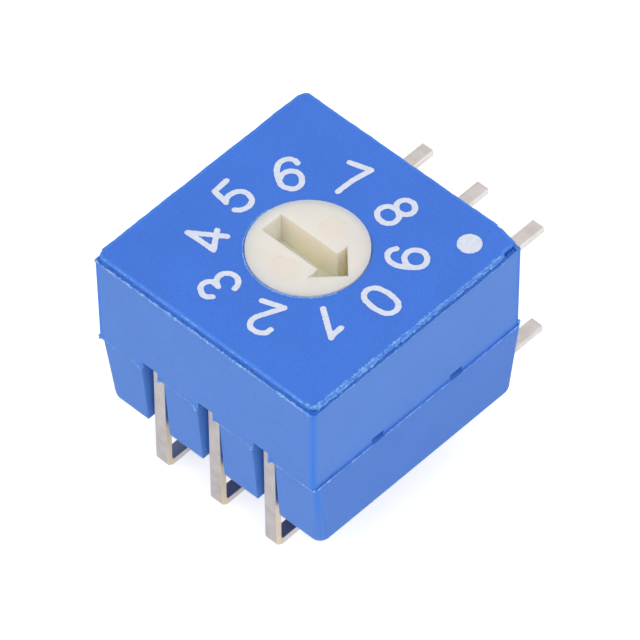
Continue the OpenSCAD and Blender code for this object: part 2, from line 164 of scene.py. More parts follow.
def spark_eroded_pbt(name, main, deep, rough, grit=0.2, corner=None):
    """Glass-filled PBT, moulded against a spark-eroded steel: the eye gets a matt, very fine grain that
    greys the colour as much as grit says, slow patches where the melt cooled at another pace, and grooves
    that stay a full blue since some light passes through the walls. With a corner colour, the grain fades
    out at the housing's upright corners, where the steel is polished, and the colour turns to the corner
    colour there: painted light, the deeper blue the corners show where they face the camera."""
    made, tree = blank_material(name)
    place = add(tree, "ShaderNodeTexCoord").outputs["Object"]
    patches = add(tree, "ShaderNodeTexNoise", {"Vector": place, "Scale": per(2.5), "Detail": 2})
    # Grain of 0.07 mm, drawn about twice as coarse as the real one so that it shows
    grain = add(
        tree, "ShaderNodeTexNoise", {"Vector": place, "Scale": per(0.07), "Detail": 3, "Roughness": 0.6}
    ).outputs[0]
    cooled = add(
        tree, "ShaderNodeMapRange", {"Value": patches.outputs[0], "From Min": 0.35, "From Max": 0.65}
    ).outputs[0]
    tone = add(
        tree, "ShaderNodeMix", {FACTOR: cooled, FIRST: colour(main), SECOND: colour(deep)}, data_type="RGBA"
    ).outputs[MIXED]
    speckle = add(
        tree, "ShaderNodeMapRange", {"Value": grain, "From Min": 0.3, "From Max": 0.7, "To Max": grit}
    ).outputs[0]
    pale_blue = colour("#8fb4f0")
    tone = add(
        tree, "ShaderNodeMix", {FACTOR: speckle, FIRST: tone, SECOND: pale_blue}, data_type="RGBA"
    ).outputs[MIXED]
    bite = 0.8
    if corner:
        polish = near_corner(tree, place)
        # Painted light: the corner colour stands in for the deeper blue the corners show as they face the
        # camera
        tone = add(
            tree, "ShaderNodeMix", {FACTOR: polish, FIRST: tone, SECOND: colour(corner)}, data_type="RGBA"
        ).outputs[MIXED]
        bite = add(tree, "ShaderNodeMapRange", {"Value": polish, "To Min": 0.8, "To Max": 0.05}).outputs[0]
    bump = add(tree, "ShaderNodeBump", {"Strength": bite, "Distance": 0.006 * MM, "Height": grain})
    matt = add(
        tree,
        "ShaderNodeMapRange",
        {"Value": grain, "From Min": 0.3, "From Max": 0.7, "To Min": rough - 0.06, "To Max": rough + 0.06},
    )
    shader = add(
        tree,
        "ShaderNodeBsdfPrincipled",
        {
            "Base Color": tone,
            "Roughness": matt.outputs[0],
            "Subsurface Weight": 0.3,
            "Subsurface Radius": (0.2, 0.5, 1.0),
            "Subsurface Scale": 0.3 * MM,
            "Normal": bump.outputs[0],
        },
    )
    add(tree, "ShaderNodeOutputMaterial", {"Surface": shader.outputs[0]})
    return made


def near_corner(tree, place):
    """0 on the housing's walls, rising to 1 within 0.1 mm of its upright corners. The lower block is set off
    towards +X and +Y, and both blocks taper."""
    split = (PARTING + 0.01) * MM
    x, y, z = add(tree, "ShaderNodeSeparateXYZ", {0: place}).outputs
    lower = add(
        tree,
        "ShaderNodeMapRange",
        {"Value": z, "From Min": PARTING * MM, "From Max": split, "To Min": 1, "To Max": 0},
    ).outputs[0]
    off = add(tree, "ShaderNodeMath", {0: lower, 1: MOULD_SHIFT * MM}, operation="MULTIPLY").outputs[0]
    across = add(tree, "ShaderNodeMath", {0: x, 1: off}, operation="SUBTRACT").outputs[0]
    across = add(tree, "ShaderNodeMath", {0: across}, operation="ABSOLUTE").outputs[0]
    along = add(tree, "ShaderNodeMath", {0: y, 1: off}, operation="SUBTRACT").outputs[0]
    along = add(tree, "ShaderNodeMath", {0: along}, operation="ABSOLUTE").outputs[0]
    reach = add(tree, "ShaderNodeMath", {0: across, 1: along}, operation="ADD").outputs[0]
    # How far each block has tapered in at this height, the lower one downwards and the upper one upwards
    heights = {"From Min": BLOCK_LOW * MM, "From Max": PARTING * MM}
    tapers = {"To Min": 0.36 * MM, "To Max": 0.11 * MM}
    taper = add(tree, "ShaderNodeMapRange", {"Value": z, **heights, **tapers}).outputs[0]
    taper = add(tree, "ShaderNodeMath", {0: taper, 1: lower}, operation="MULTIPLY").outputs[0]
    heights = {"From Min": split, "From Max": RIM_TOP * MM}
    tapers = {"To Min": 0.08 * MM, "To Max": 0.0}
    upper = add(tree, "ShaderNodeMapRange", {"Value": z, **heights, **tapers}).outputs[0]
    above = add(tree, "ShaderNodeMath", {0: 1.0, 1: lower}, operation="SUBTRACT").outputs[0]
    upper = add(tree, "ShaderNodeMath", {0: upper, 1: above}, operation="MULTIPLY").outputs[0]
    taper = add(tree, "ShaderNodeMath", {0: taper, 1: upper}, operation="ADD").outputs[0]
    reach = add(tree, "ShaderNodeMath", {0: reach, 1: taper}, operation="ADD").outputs[0]
    # Span of the polished corners and of their painted highlight tone
    polished = {"From Min": POLISH_AND_HIGHLIGHT_FROM * MM, "From Max": POLISH_AND_HIGHLIGHT_TO * MM}
    return add(tree, "ShaderNodeMapRange", {"Value": reach, **polished}).outputs[0]


def flash_pbt(name, main, pale):
    """The same PBT where it is squeezed thin or welded: paler, partly because strain whitens it and partly
    as painted highlight on thin edges that catch the light, and a little glossy."""
    made, tree = blank_material(name)
    place = add(tree, "ShaderNodeTexCoord").outputs["Object"]
    streaks = add(
        tree, "ShaderNodeTexNoise", {"Vector": place, "Scale": per(0.12), "Detail": 4, "Roughness": 0.7}
    ).outputs[0]
    # Pale streaks: partly whitening from strain, partly painted highlight
    whitening_and_glint = add(
        tree, "ShaderNodeMapRange", {"Value": streaks, "From Min": 0.38, "From Max": 0.66}
    ).outputs[0]
    tone = add(
        tree, "ShaderNodeMix", {FACTOR: whitening_and_glint, FIRST: colour(main), SECOND: colour(pale)}, data_type="RGBA"
    ).outputs[MIXED]
    bump = add(tree, "ShaderNodeBump", {"Strength": 0.7, "Distance": 0.01 * MM, "Height": streaks})
    shader = add(
        tree, "ShaderNodeBsdfPrincipled", {"Base Color": tone, "Roughness": 0.35, "Normal": bump.outputs[0]}
    )
    add(tree, "ShaderNodeOutputMaterial", {"Surface": shader.outputs[0]})
    return made


def ivory_pom(name, face_z):
    """Natural POM, polished moulded: a cream that is slightly see-through, with a paler face. Down in the
    dial's recess the colour turns lighter and warmer with depth: painted light, for the light that bounces
    about in the recess and passes through more of the plastic. The two sunk marks are a trace warmer."""
    made, tree = blank_material(name)
    place = add(tree, "ShaderNodeTexCoord").outputs["Object"]
    across, along, height = add(tree, "ShaderNodeSeparateXYZ", {0: place}).outputs
    level = add(tree, "ShaderNodeCombineXYZ", {0: across, 1: along, 2: 0.0})
    away = add(tree, "ShaderNodeVectorMath", {0: level.outputs[0]}, operation="LENGTH").outputs["Value"]
    flow = add(
        tree, "ShaderNodeTexNoise", {"Vector": place, "Scale": per(0.9), "Detail": 3, "Distortion": 1.2}
    ).outputs[0]
    grain = add(tree, "ShaderNodeTexNoise", {"Vector": place, "Scale": per(0.1), "Detail": 2})
    streaked = add(
        tree, "ShaderNodeMapRange", {"Value": flow, "From Min": 0.35, "From Max": 0.65}
    ).outputs[0]
    face_tones = {FIRST: colour("#eae5de"), SECOND: colour("#e9e3d9")}
    tone = add(tree, "ShaderNodeMix", {FACTOR: streaked, **face_tones}, data_type="RGBA").outputs[MIXED]
    mark_levels = {"From Min": (face_z - 0.012) * MM, "From Max": (face_z - 0.004) * MM}
    sunk = add(
        tree, "ShaderNodeMapRange", {"Value": height, **mark_levels, "To Min": 1, "To Max": 0}
    ).outputs[0]
    tone = add(
        tree, "ShaderNodeMix", {FACTOR: sunk, FIRST: tone, SECOND: colour("#ebe3d8")}, data_type="RGBA"
    ).outputs[MIXED]
    # Painted light: lighter and warmer with depth in the recess, for the light bounced about in it
    recess_levels = {"From Min": (face_z - RECESS_DEPTH) * MM, "From Max": (face_z - 0.1) * MM}
    depth = add(
        tree, "ShaderNodeMapRange", {"Value": height, **recess_levels, "To Min": 1, "To Max": 0}
    ).outputs[0]
    recess_reach = {"From Min": RECESS_REACH * MM, "From Max": (RECESS_REACH + 0.07) * MM}
    inside = add(
        tree, "ShaderNodeMapRange", {"Value": away, **recess_reach, "To Min": 1, "To Max": 0}
    ).outputs[0]
    depth = add(tree, "ShaderNodeMath", {0: depth, 1: inside}, operation="MULTIPLY").outputs[0]
    tone = add(
        tree, "ShaderNodeMix", {FACTOR: depth, FIRST: tone, SECOND: colour("#fff9e2")}, data_type="RGBA"
    ).outputs[MIXED]
    bump = add(
        tree, "ShaderNodeBump", {"Strength": 0.3, "Distance": 0.004 * MM, "Height": grain.outputs[0]}
    )
    sheen = add(
        tree,
        "ShaderNodeMapRange",
        {"Value": flow, "From Min": 0.3, "From Max": 0.7, "To Min": 0.4, "To Max": 0.48},
    )
    shader = add(
        tree,
        "ShaderNodeBsdfPrincipled",
        {
            "Base Color": tone,
            "Roughness": sheen.outputs[0],
            "Subsurface Weight": 0.9,
            "Subsurface Radius": (1.0, 0.9, 0.65),
            "Subsurface Scale": 0.8 * MM,
            "Normal": bump.outputs[0],
        },
    )
    add(tree, "ShaderNodeOutputMaterial", {"Surface": shader.outputs[0]})
    return made


def pad_ink(name):
    """Pad-printed epoxy ink: a thin, dense, slightly cold white with a low sheen and a faint mottle."""
    made, tree = blank_material(name)
    place = add(tree, "ShaderNodeTexCoord").outputs["Object"]
    mottle = add(
        tree, "ShaderNodeTexNoise", {"Vector": place, "Scale": per(0.16), "Detail": 3}
    ).outputs[0]
    thinner = add(tree, "ShaderNodeMapRange", {"Value": mottle, "From Min": 0.3, "From Max": 0.7}).outputs[0]
    whites = {FIRST: colour("#e3e8f6"), SECOND: colour("#d4dbee")}
    tone = add(tree, "ShaderNodeMix", {FACTOR: thinner, **whites}, data_type="RGBA").outputs[MIXED]
    bump = add(tree, "ShaderNodeBump", {"Strength": 0.3, "Distance": 0.004 * MM, "Height": mottle})
    shader = add(
        tree, "ShaderNodeBsdfPrincipled", {"Base Color": tone, "Roughness": 0.5, "Normal": bump.outputs[0]}
    )
    add(tree, "ShaderNodeOutputMaterial", {"Surface": shader.outputs[0]})
    return made


def matt_tin(name, pale, dull, rough, bare=None):
    """Matt electroplated tin on rolled strip: a soft grey metal with rolling lines along the lead and dull
    smudges. With a bare colour, the strip's bronze shows on the legs at -Y, where the tin is taken to be
    thin."""
    made, tree = blank_material(name)
    place = add(tree, "ShaderNodeTexCoord").outputs["Object"]
    # Rolling lines 0.05 mm apart across the strip, drawn out along it
    drawn_out = add(tree, "ShaderNodeMapping", {"Vector": place, "Scale": (per(0.05), per(1.2), per(1.2))})
    lines = add(tree, "ShaderNodeTexNoise", {"Vector": drawn_out.outputs[0], "Scale": 1, "Detail": 2})
    smudge = add(
        tree, "ShaderNodeTexNoise", {"Vector": place, "Scale": per(0.5), "Detail": 4, "Roughness": 0.65}
    ).outputs[0]
    crystals = add(tree, "ShaderNodeTexNoise", {"Vector": place, "Scale": per(0.05), "Detail": 2})
    dulled = add(
        tree, "ShaderNodeMapRange", {"Value": smudge, "From Min": 0.35, "From Max": 0.68}
    ).outputs[0]
    tone = add(
        tree, "ShaderNodeMix", {FACTOR: dulled, FIRST: colour(pale), SECOND: colour(dull)}, data_type="RGBA"
    ).outputs[MIXED]
    if bare:
        along = add(tree, "ShaderNodeSeparateXYZ", {0: place}).outputs[1]
        legs = {"From Min": BRONZE_FULL * MM, "From Max": BRONZE_FROM * MM, "To Min": 1, "To Max": 0}
        shown = add(tree, "ShaderNodeMapRange", {"Value": along, **legs}).outputs[0]
        tone = add(
            tree, "ShaderNodeMix", {FACTOR: shown, FIRST: tone, SECOND: colour(bare)}, data_type="RGBA"
        ).outputs[MIXED]
    height = add(tree, "ShaderNodeMath", {0: lines.outputs[0], 1: crystals.outputs[0]}, operation="ADD")
    bump = add(
        tree, "ShaderNodeBump", {"Strength": 0.5, "Distance": 0.004 * MM, "Height": height.outputs[0]}
    )
    sheen = add(
        tree,
        "ShaderNodeMapRange",
        {"Value": smudge, "From Min": 0.3, "From Max": 0.7, "To Min": rough - 0.07, "To Max": rough + 0.08},
    )
    shader = add(
        tree,
        "ShaderNodeBsdfPrincipled",
        {"Base Color": tone, "Metallic": 1.0, "Roughness": sheen.outputs[0], "Normal": bump.outputs[0]},
    )
    add(tree, "ShaderNodeOutputMaterial", {"Surface": shader.outputs[0]})
    return made


def plain_metal(name, main, deep, rough, grain_mm):
    """Rolled metal of the sealed-in pieces: an even tone with fine rolling grain."""
    made, tree = blank_material(name)
    place = add(tree, "ShaderNodeTexCoord").outputs["Object"]
    grain = add(
        tree, "ShaderNodeTexNoise", {"Vector": place, "Scale": per(grain_mm), "Detail": 3}
    ).outputs[0]
    tone = add(
        tree, "ShaderNodeMix", {FACTOR: grain, FIRST: colour(main), SECOND: colour(deep)}, data_type="RGBA"
    ).outputs[MIXED]
    bump = add(tree, "ShaderNodeBump", {"Strength": 0.3, "Distance": 0.003 * MM, "Height": grain})
    shader = add(
        tree,
        "ShaderNodeBsdfPrincipled",
        {"Base Color": tone, "Metallic": 1.0, "Roughness": rough, "Normal": bump.outputs[0]},
    )
    add(tree, "ShaderNodeOutputMaterial", {"Surface": shader.outputs[0]})
    return made


def seal_silicone(name):
    """Moulded silicone rubber: dull brick red with a fine bloom."""
    made, tree = blank_material(name)
    place = add(tree, "ShaderNodeTexCoord").outputs["Object"]
    bloom = add(tree, "ShaderNodeTexNoise", {"Vector": place, "Scale": per(0.2), "Detail": 4}).outputs[0]
    reds = {FIRST: colour("#7c3222"), SECOND: colour("#934634")}
    tone = add(tree, "ShaderNodeMix", {FACTOR: bloom, **reds}, data_type="RGBA").outputs[MIXED]
    bump = add(tree, "ShaderNodeBump", {"Strength": 0.4, "Distance": 0.005 * MM, "Height": bloom})
    shader = add(
        tree, "ShaderNodeBsdfPrincipled", {"Base Color": tone, "Roughness": 0.7, "Normal": bump.outputs[0]}
    )
    add(tree, "ShaderNodeOutputMaterial", {"Surface": shader.outputs[0]})
    return made


HOUSING_BLUE = spark_eroded_pbt("pbt_housing", "#4383e3", "#3f80df", 0.5, corner="#3483ea")
# The lower block's +X side is a darker blue, as painted shade; the slots' sides a lighter blue, as painted
# light against the shade in the slots
SIDE_BLUE = spark_eroded_pbt("pbt_lower_side_painted_shade", "#377add", "#3376d9", 0.5, corner="#3483ea")
SLOT_BLUE = spark_eroded_pbt("pbt_slot_side_painted_light", "#5b9bf6", "#5595f2", 0.45)
# The cover is a deeper, more saturated blue than the housing: painted shade of the cover's top, which looks
# darker than the walls under the same light
COVER_BLUE = spark_eroded_pbt("pbt_cover", "#2770dd", "#236cd9", 0.45, grit=0.1)
# The cover's rolled lip edges are a lighter blue than the cover: painted highlight where the rounding
# catches the light
EDGE_BLUE = spark_eroded_pbt("pbt_rolled_edge_painted_highlight", "#3080ec", "#2c7ce8", 0.48)
FLASH_BLUE = flash_pbt("pbt_flash", "#468eec", "#a9d6fb")
WELD_BLUE = flash_pbt("pbt_weld", "#3a82e8", "#8fc2f8")
# Deep blue for the bead in the gap under the lip: painted shade
GAP_SHADE_BLUE = flash_pbt("pbt_gap_shade", "#0a5eca", "#186cd8")
IVORY = ivory_pom("pom_rotor", high("rotor")[2])
INK = pad_ink("epoxy_ink")
TIN = matt_tin("tin_plate", "#cfc8c5", "#c3bbb7", 0.42)
CUT_EDGE = matt_tin("sheared_edge", "#f2eeea", "#e0dad4", 0.36, bare="#f0dec2")
SPRING_STEEL = plain_metal("rolled_spring_steel", "#b9bcc0", "#9b9ea4", 0.3, 0.08)
BRUSH_GOLD = plain_metal("gold_plated_strip", "#e8c37a", "#d7ab58", 0.25, 0.06)
SEAL = seal_silicone("silicone_rubber")


# ---------------------------------------------------------------- meshes
def new_piece(name, mesh):
    """A new object, at the origin, that shows a mesh."""
    made = bpy.data.objects.new(name, mesh)
    bpy.context.scene.collection.objects.link(made)
    return made


def baked(piece):
    """piece with its modifiers worked into its mesh."""
    graph = bpy.context.evaluated_depsgraph_get()
    mesh = bpy.data.meshes.new_from_object(piece.evaluated_get(graph))
    piece.modifiers.clear()
    piece.data = mesh
    return piece


def merged_copy(node, name):
    """A copy of a CAD node's mesh with its doubles merged and its flat faces made whole."""
    bm = bmesh.new()
    bm.from_mesh(frame["nodes"][node].data)
    bmesh.ops.remove_doubles(bm, verts=bm.verts, dist=0.0002 * MM)
    bmesh.ops.dissolve_limit(bm, angle_limit=math.radians(0.5), verts=bm.verts, edges=bm.edges)
    mesh = bpy.data.meshes.new(name)
    bm.to_mesh(mesh)
    bm.free()
    return new_piece(name, mesh)


def even_faces(piece, angle=SHARP):
    """Shades the round faces of a piece smooth, and keeps its flat faces flat to the light."""
    piece.data.shade_smooth()
    piece.data.set_sharp_from_angle(angle=math.radians(angle))
    even = piece.modifiers.new("even faces", "WEIGHTED_NORMAL")
    even.mode = "FACE_AREA"
    even.weight = 100
    even.keep_sharp = True
    return piece


def rolled_edges(piece, width, chosen, finish_index=-1):
    """Rounds those sharp edges of a piece whose middle is chosen, then evens its faces."""
    mesh = piece.data
    mesh.shade_smooth()
    mesh.set_sharp_from_angle(angle=math.radians(SHARP))
    weight = mesh.attributes.new("bevel_weight_edge", "FLOAT", "EDGE")
    for edge in mesh.edges:
        a, b = (mesh.vertices[v].co / MM for v in edge.vertices)
        if edge.use_edge_sharp and chosen((a + b) / 2):
            weight.data[edge.index].value = 1.0
    bevel = piece.modifiers.new("rolled edges", "BEVEL")
    bevel.width = width * MM
    bevel.segments = ROLL_STEPS
    bevel.limit_method = "WEIGHT"
    bevel.use_clamp_overlap = False
    bevel.material = finish_index
    baked(piece)
    baked(even_faces(piece, SHARP_ROLLED))


def paint_side_shade_and_slot_light(piece, side, slot):
    """Paints the lower block's +X side a darker blue, as painted shade, and the slots' sides a lighter blue,
    as painted light against the shade in the slots.
    """
    for face in piece.data.polygons:
        middle, normal = face.center / MM, face.normal
        below = middle.z < PARTING - WALLS_BELOW
        if below and normal.x > 0.9 and middle.x > SIDE_PAST:
            face.material_index = side
        in_slots = abs(middle.x) < SLOTS_WITHIN < abs(middle.y)
        if below and abs(normal.x) > 0.9 and in_slots:
            face.material_index = slot


def stands_for(piece, node):
    """Puts a finished piece in its CAD node's place."""
    body = frame["nodes"][node]["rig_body"]
    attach(piece, body)
    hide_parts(node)


housing = merged_copy("housing", "moulded_housing")
for material in (HOUSING_BLUE, SIDE_BLUE, SLOT_BLUE):
    housing.data.materials.append(material)
paint_side_shade_and_slot_light(housing, 1, 2)
baked(even_faces(housing))
stands_for(housing, "housing")

cover_top = high("cover")[2]
cover = merged_copy("cover", "welded_cover")
cover.data.materials.append(COVER_BLUE)
cover.data.materials.append(EDGE_BLUE)
rolled_edges(
    cover,
    COVER_EDGE,
    lambda p: max(abs(p.x), abs(p.y)) > LIP_FROM and p.z > cover_top - 0.01,
    finish_index=1,
)
stands_for(cover, "cover")

rotor = merged_copy("rotor", "dial_rotor")
rotor.data.materials.append(IVORY)
baked(even_faces(rotor))
stands_for(rotor, "rotor")

for code in ("1", "2", "4", "8", "common"):
    lead = merged_copy("terminal_" + code, "plated_terminal_" + code)
    lead.data.materials.append(TIN)
    lead.data.materials.append(CUT_EDGE)
    # The sheared sides face X and the sheared ends face +Y
    for face in lead.data.polygons:
        face.material_index = 1 if abs(face.normal.x) > 0.9 or face.normal.y > 0.95 else 0
    rolled_edges(lead, LEAD_EDGE, lambda p: True)
    stands_for(lead, "terminal_" + code)

for node, material in (("seal_ring", SEAL), ("click_spring", SPRING_STEEL), ("contact_brush", BRUSH_GOLD)):
    cad = frame["nodes"][node]
    cad.data.materials.clear()
    cad.data.materials.append(material)


# ---------------------------------------------------------------- weld bead and moulding flash
def new_tree(name, sizes):
    """An empty geometry tree with a path to follow, named sizes and a material."""
    tree = bpy.data.node_groups.new(name, "GeometryNodeTree")
    tree.interface.new_socket("Geometry", in_out="OUTPUT", socket_type="NodeSocketGeometry")
    tree.interface.new_socket("Path", in_out="INPUT", socket_type="NodeSocketGeometry")
    for size in sizes:
        tree.interface.new_socket(size, in_out="INPUT", socket_type="NodeSocketFloat")
    tree.interface.new_socket("Material", in_out="INPUT", socket_type="NodeSocketMaterial")
    return tree, add(tree, "NodeGroupInput").outputs


def wandering_path(tree, given, place, fine):
    """The seam's path in even steps, made to stray to all sides."""
    path = add(tree, "GeometryNodeMeshToCurve", {"Mesh": given["Path"]}).outputs[0]
    path = add(
        tree, "GeometryNodeResampleCurve", {"Curve": path, "Length": given["Step"]}, mode="LENGTH"
    ).outputs[0]
    sway = add(
        tree,
        "ShaderNodeTexNoise",
        {"Vector": place, "W": given["Seed"], "Scale": fine, "Detail": 3, "Roughness": 0.6},
        noise_dimensions="4D",
    ).outputs["Color"]
    sway = add(tree, "ShaderNodeVectorMath", {0: sway, 1: (0.5, 0.5, 0.5)}, operation="SUBTRACT").outputs[0]
    # The noise mostly stays within a quarter of its middle, so four times that is about the Stray asked for
    stray = add(tree, "ShaderNodeMath", {0: given["Stray"], 1: 4.0}, operation="MULTIPLY").outputs[0]
    sway = add(tree, "ShaderNodeVectorMath", {0: sway, "Scale": stray}, operation="SCALE").outputs[0]
    path = add(tree, "GeometryNodeSetPosition", {"Geometry": path, "Offset": sway}).outputs[0]
    return add(tree, "GeometryNodeSetCurveNormal", {"Curve": path}, mode="Z_UP").outputs[0]


def swollen_bead(tree, given, place, fine, path):
    """A bead along the path that swells, and thins out to nothing where Gaps says."""
    other = add(tree, "ShaderNodeMath", {0: given["Seed"], 1: 11.0}, operation="ADD").outputs[0]
    slow = add(tree, "ShaderNodeMath", {0: fine, 1: 0.5}, operation="MULTIPLY").outputs[0]
    swell = add(
        tree, "ShaderNodeTexNoise", {"Vector": place, "W": other, "Scale": slow}, noise_dimensions="4D"
    ).outputs[0]
    start = add(tree, "ShaderNodeMath", {0: given["Gaps"], 1: 0.36}, operation="ADD").outputs[0]
    stop = add(tree, "ShaderNodeMath", {0: start, 1: 0.26}, operation="ADD").outputs[0]
    swell = add(
        tree,
        "ShaderNodeMapRange",
        {"Value": swell, "From Min": start, "From Max": stop, "To Min": 0.04, "To Max": 1.25},
    ).outputs[0]
    ring = add(tree, "GeometryNodeCurvePrimitiveCircle", {"Resolution": 10, "Radius": 0.5}, mode="RADIUS")
    squash = add(tree, "ShaderNodeCombineXYZ", {0: given["Width"], 1: given["Height"], 2: 1.0})
    ring = add(tree, "GeometryNodeTransform", {"Geometry": ring.outputs[0], "Scale": squash.outputs[0]})
    return add(
        tree,
        "GeometryNodeCurveToMesh",
        {"Curve": path, "Profile Curve": ring.outputs[0], "Scale": swell, "Fill Caps": True},
    ).outputs[0]


def torn_skin(tree, given, place, fine, bead):
    """The bead with its skin pulled out and pushed in by up to about a third of its height."""
    finer = add(tree, "ShaderNodeMath", {0: fine, 1: 3.0}, operation="MULTIPLY").outputs[0]
    torn = add(
        tree,
        "ShaderNodeTexNoise",
        {"Vector": place, "W": given["Seed"], "Scale": finer, "Detail": 2},
        noise_dimensions="4D",
    ).outputs[0]
    torn = add(
        tree,
        "ShaderNodeMapRange",
        {"Value": torn, "From Min": 0.3, "From Max": 0.7, "To Min": -0.35, "To Max": 0.35},
    ).outputs[0]
    normal = add(tree, "GeometryNodeInputNormal").outputs[0]
    pull = add(tree, "ShaderNodeMath", {0: torn, 1: given["Height"]}, operation="MULTIPLY").outputs[0]
    pull = add(tree, "ShaderNodeVectorMath", {0: normal, "Scale": pull}, operation="SCALE").outputs[0]
    bead = add(tree, "GeometryNodeSetPosition", {"Geometry": bead, "Offset": pull}).outputs[0]
    return add(tree, "GeometryNodeSetShadeSmooth", {"Geometry": bead}).outputs[0]


def close_tree(tree, shape, material):
    """Makes the shape plain geometry in its material and hands it out."""
    shape = add(tree, "GeometryNodeRealizeInstances", {"Geometry": shape}).outputs[0]
    shape = add(tree, "GeometryNodeSetMaterial", {"Geometry": shape, "Material": material}).outputs[0]
    add(tree, "NodeGroupOutput", {0: shape})
    return tree


def rough_bead():
    """Plastic squeezed out along a seam."""
    tree, given = new_tree("rough bead", ["Width", "Height", "Stray", "Grain", "Gaps", "Step", "Seed"])
    place = add(tree, "GeometryNodeInputPosition").outputs[0]
    fine = add(tree, "ShaderNodeMath", {0: 1.0, 1: given["Grain"]}, operation="DIVIDE").outputs[0]
    path = wandering_path(tree, given, place, fine)
    bead = swollen_bead(tree, given, place, fine, path)
    bead = torn_skin(tree, given, place, fine, bead)
    return close_tree(tree, bead, given["Material"])


def loose_crumbs():
    """Crumbs of plastic that cling beside a seam."""
    tree, given = new_tree("loose crumbs", ["Size", "Spread", "Step", "Share", "Seed"])
    seed = add(tree, "FunctionNodeFloatToInt", {0: given["Seed"]}).outputs[0]
    path = add(tree, "GeometryNodeMeshToCurve", {"Mesh": given["Path"]}).outputs[0]
    spots = add(
        tree, "GeometryNodeCurveToPoints", {"Curve": path, "Length": given["Step"]}, mode="LENGTH"
    ).outputs[0]
    shift = add(
        tree,
        "FunctionNodeRandomValue",
        {"Min": (-1, -1, -0.4), "Max": (1, 1, 0.4), "Seed": seed},
        data_type="FLOAT_VECTOR",
    ).outputs[0]
    shift = add(
        tree, "ShaderNodeVectorMath", {0: shift, "Scale": given["Spread"]}, operation="SCALE"
    ).outputs[0]
    spots = add(tree, "GeometryNodeSetPosition", {"Geometry": spots, "Offset": shift}).outputs[0]
    choice = add(tree, "FunctionNodeInputInt", integer=3).outputs[0]
    kept = add(
        tree, "FunctionNodeRandomValue", {"Probability": given["Share"], "Seed": choice}, data_type="BOOLEAN"
    )
    crumb = add(tree, "GeometryNodeMeshIcoSphere", {"Radius": 0.5, "Subdivisions": 1})
    stretch = add(
        tree,
        "FunctionNodeRandomValue",
        {"Min": (0.5, 0.5, 0.4), "Max": (1.5, 1.5, 0.9), "Seed": seed},
        data_type="FLOAT_VECTOR",
    ).outputs[0]
    stretch = add(
        tree, "ShaderNodeVectorMath", {0: stretch, "Scale": given["Size"]}, operation="SCALE"
    )
    turned = add(
        tree,
        "FunctionNodeRandomValue",
        {"Min": (0, 0, 0), "Max": (0.6, 0.6, 6.2), "Seed": seed},
        data_type="FLOAT_VECTOR",
    )
    placed = add(
        tree,
        "GeometryNodeInstanceOnPoints",
        {
            "Points": spots,
            "Selection": kept.outputs[3],
            "Instance": crumb.outputs[0],
            "Rotation": turned.outputs[0],
            "Scale": stretch.outputs[0],
        },
    )
    return close_tree(tree, placed.outputs[0], given["Material"])


BEAD = rough_bead()
CRUMBS = loose_crumbs()


def seam(name, paths, tree, material, **sizes):
    """Runs a tree along paths given in millimetres. Its sizes are in millimetres too, apart from plain
    numbers."""
    bm = bmesh.new()
    for path in paths:
        points = [bm.verts.new(Vector(p) * MM) for p in path]
        for a, b in zip(points, points[1:]):
            bm.edges.new((a, b))
    mesh = bpy.data.meshes.new(name)
    bm.to_mesh(mesh)
    bm.free()
    piece = new_piece(name, mesh)
    grown = piece.modifiers.new(name, "NODES")
    grown.node_group = tree
    for item in tree.interface.items_tree:
        if item.in_out == "INPUT" and item.name in sizes:
            unit = 1 if item.name in ("Seed", "Gaps", "Share") else MM
            grown[item.identifier] = float(sizes[item.name]) * unit
        if item.name == "Material":
            grown[item.identifier] = material
    baked(piece)
    piece.data.name = name
    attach(piece, "housing")
    return piece


def lip_corner(centre, radius, start, stop, z):
    """Points on a level arc about a centre, from one bearing to another in degrees."""
    turns = np.radians(np.linspace(start, stop, 17))
    return [(centre[0] + radius * math.cos(t), centre[1] + radius * math.sin(t), z) for t in turns]


rim_x, rim_y, rim_z = high("housing")
lip_x, lip_y, lip_z = high("cover")
lip_front = low("cover")[1]
# The lip's underside, and the radius of its corners
lip_low = lip_z - 0.15
lip_r = 0.28
# Where the housing's mould halves meet: the upper walls end at 4.92 in X and 5.0 in Y, the lower block
# starts at 4.995 on the +X and +Y sides and at 4.895 on the others
seam_z = low("terminal_1")[2]
BLOCK_SIDE = 4.985
WALL_FRONT = -4.998
# The bent leads' slots along X
SLOTS = (-2.54, 0.0, 2.54)


def row(start, stop, count=30):
    """Evenly spaced points from start to stop."""
    return [tuple(p) for p in np.linspace(start, stop, count)]


# Weld bead on the lip: heavy and torn along +X and round its corner to -Y, thin and smooth along the
# other sides
heavy = row((lip_x - 0.07, lip_y - 0.95, lip_z - 0.02), (lip_x - 0.07, lip_front + lip_r, lip_z - 0.02), 60)
heavy += lip_corner((lip_x - lip_r, lip_front + lip_r), lip_r - 0.06, 0, -90, lip_z - 0.03)
turn = lip_corner((lip_x - lip_r, lip_front + lip_r), lip_r - 0.04, 20, -110, lip_z - 0.02)
sag_x, sag_z = lip_x - 0.015, lip_low + 0.04
sag = row((sag_x, lip_y - 0.98, sag_z), (sag_x, lip_front + 0.2, sag_z), 60)
bead_z = lip_z - 0.03
front_y = lip_front + 0.02
front = row((-lip_x + lip_r, front_y, bead_z), (lip_x - lip_r, front_y, bead_z), 60)
back_y = lip_y - 0.025
back = row((-lip_x + lip_r, back_y, bead_z), (lip_x - 1.1, back_y, bead_z), 60)
left_x = -lip_x + 0.005
left = row((left_x, lip_front + lip_r, bead_z), (left_x, lip_y - lip_r, bead_z), 60)
left += lip_corner((-lip_x + lip_r, lip_y - lip_r), lip_r - 0.03, 180, 90, bead_z)[1:-1]
notch = row((lip_x - 0.9, lip_y - 0.04, bead_z), (lip_x - 0.12, lip_y - 0.2, bead_z), 16)
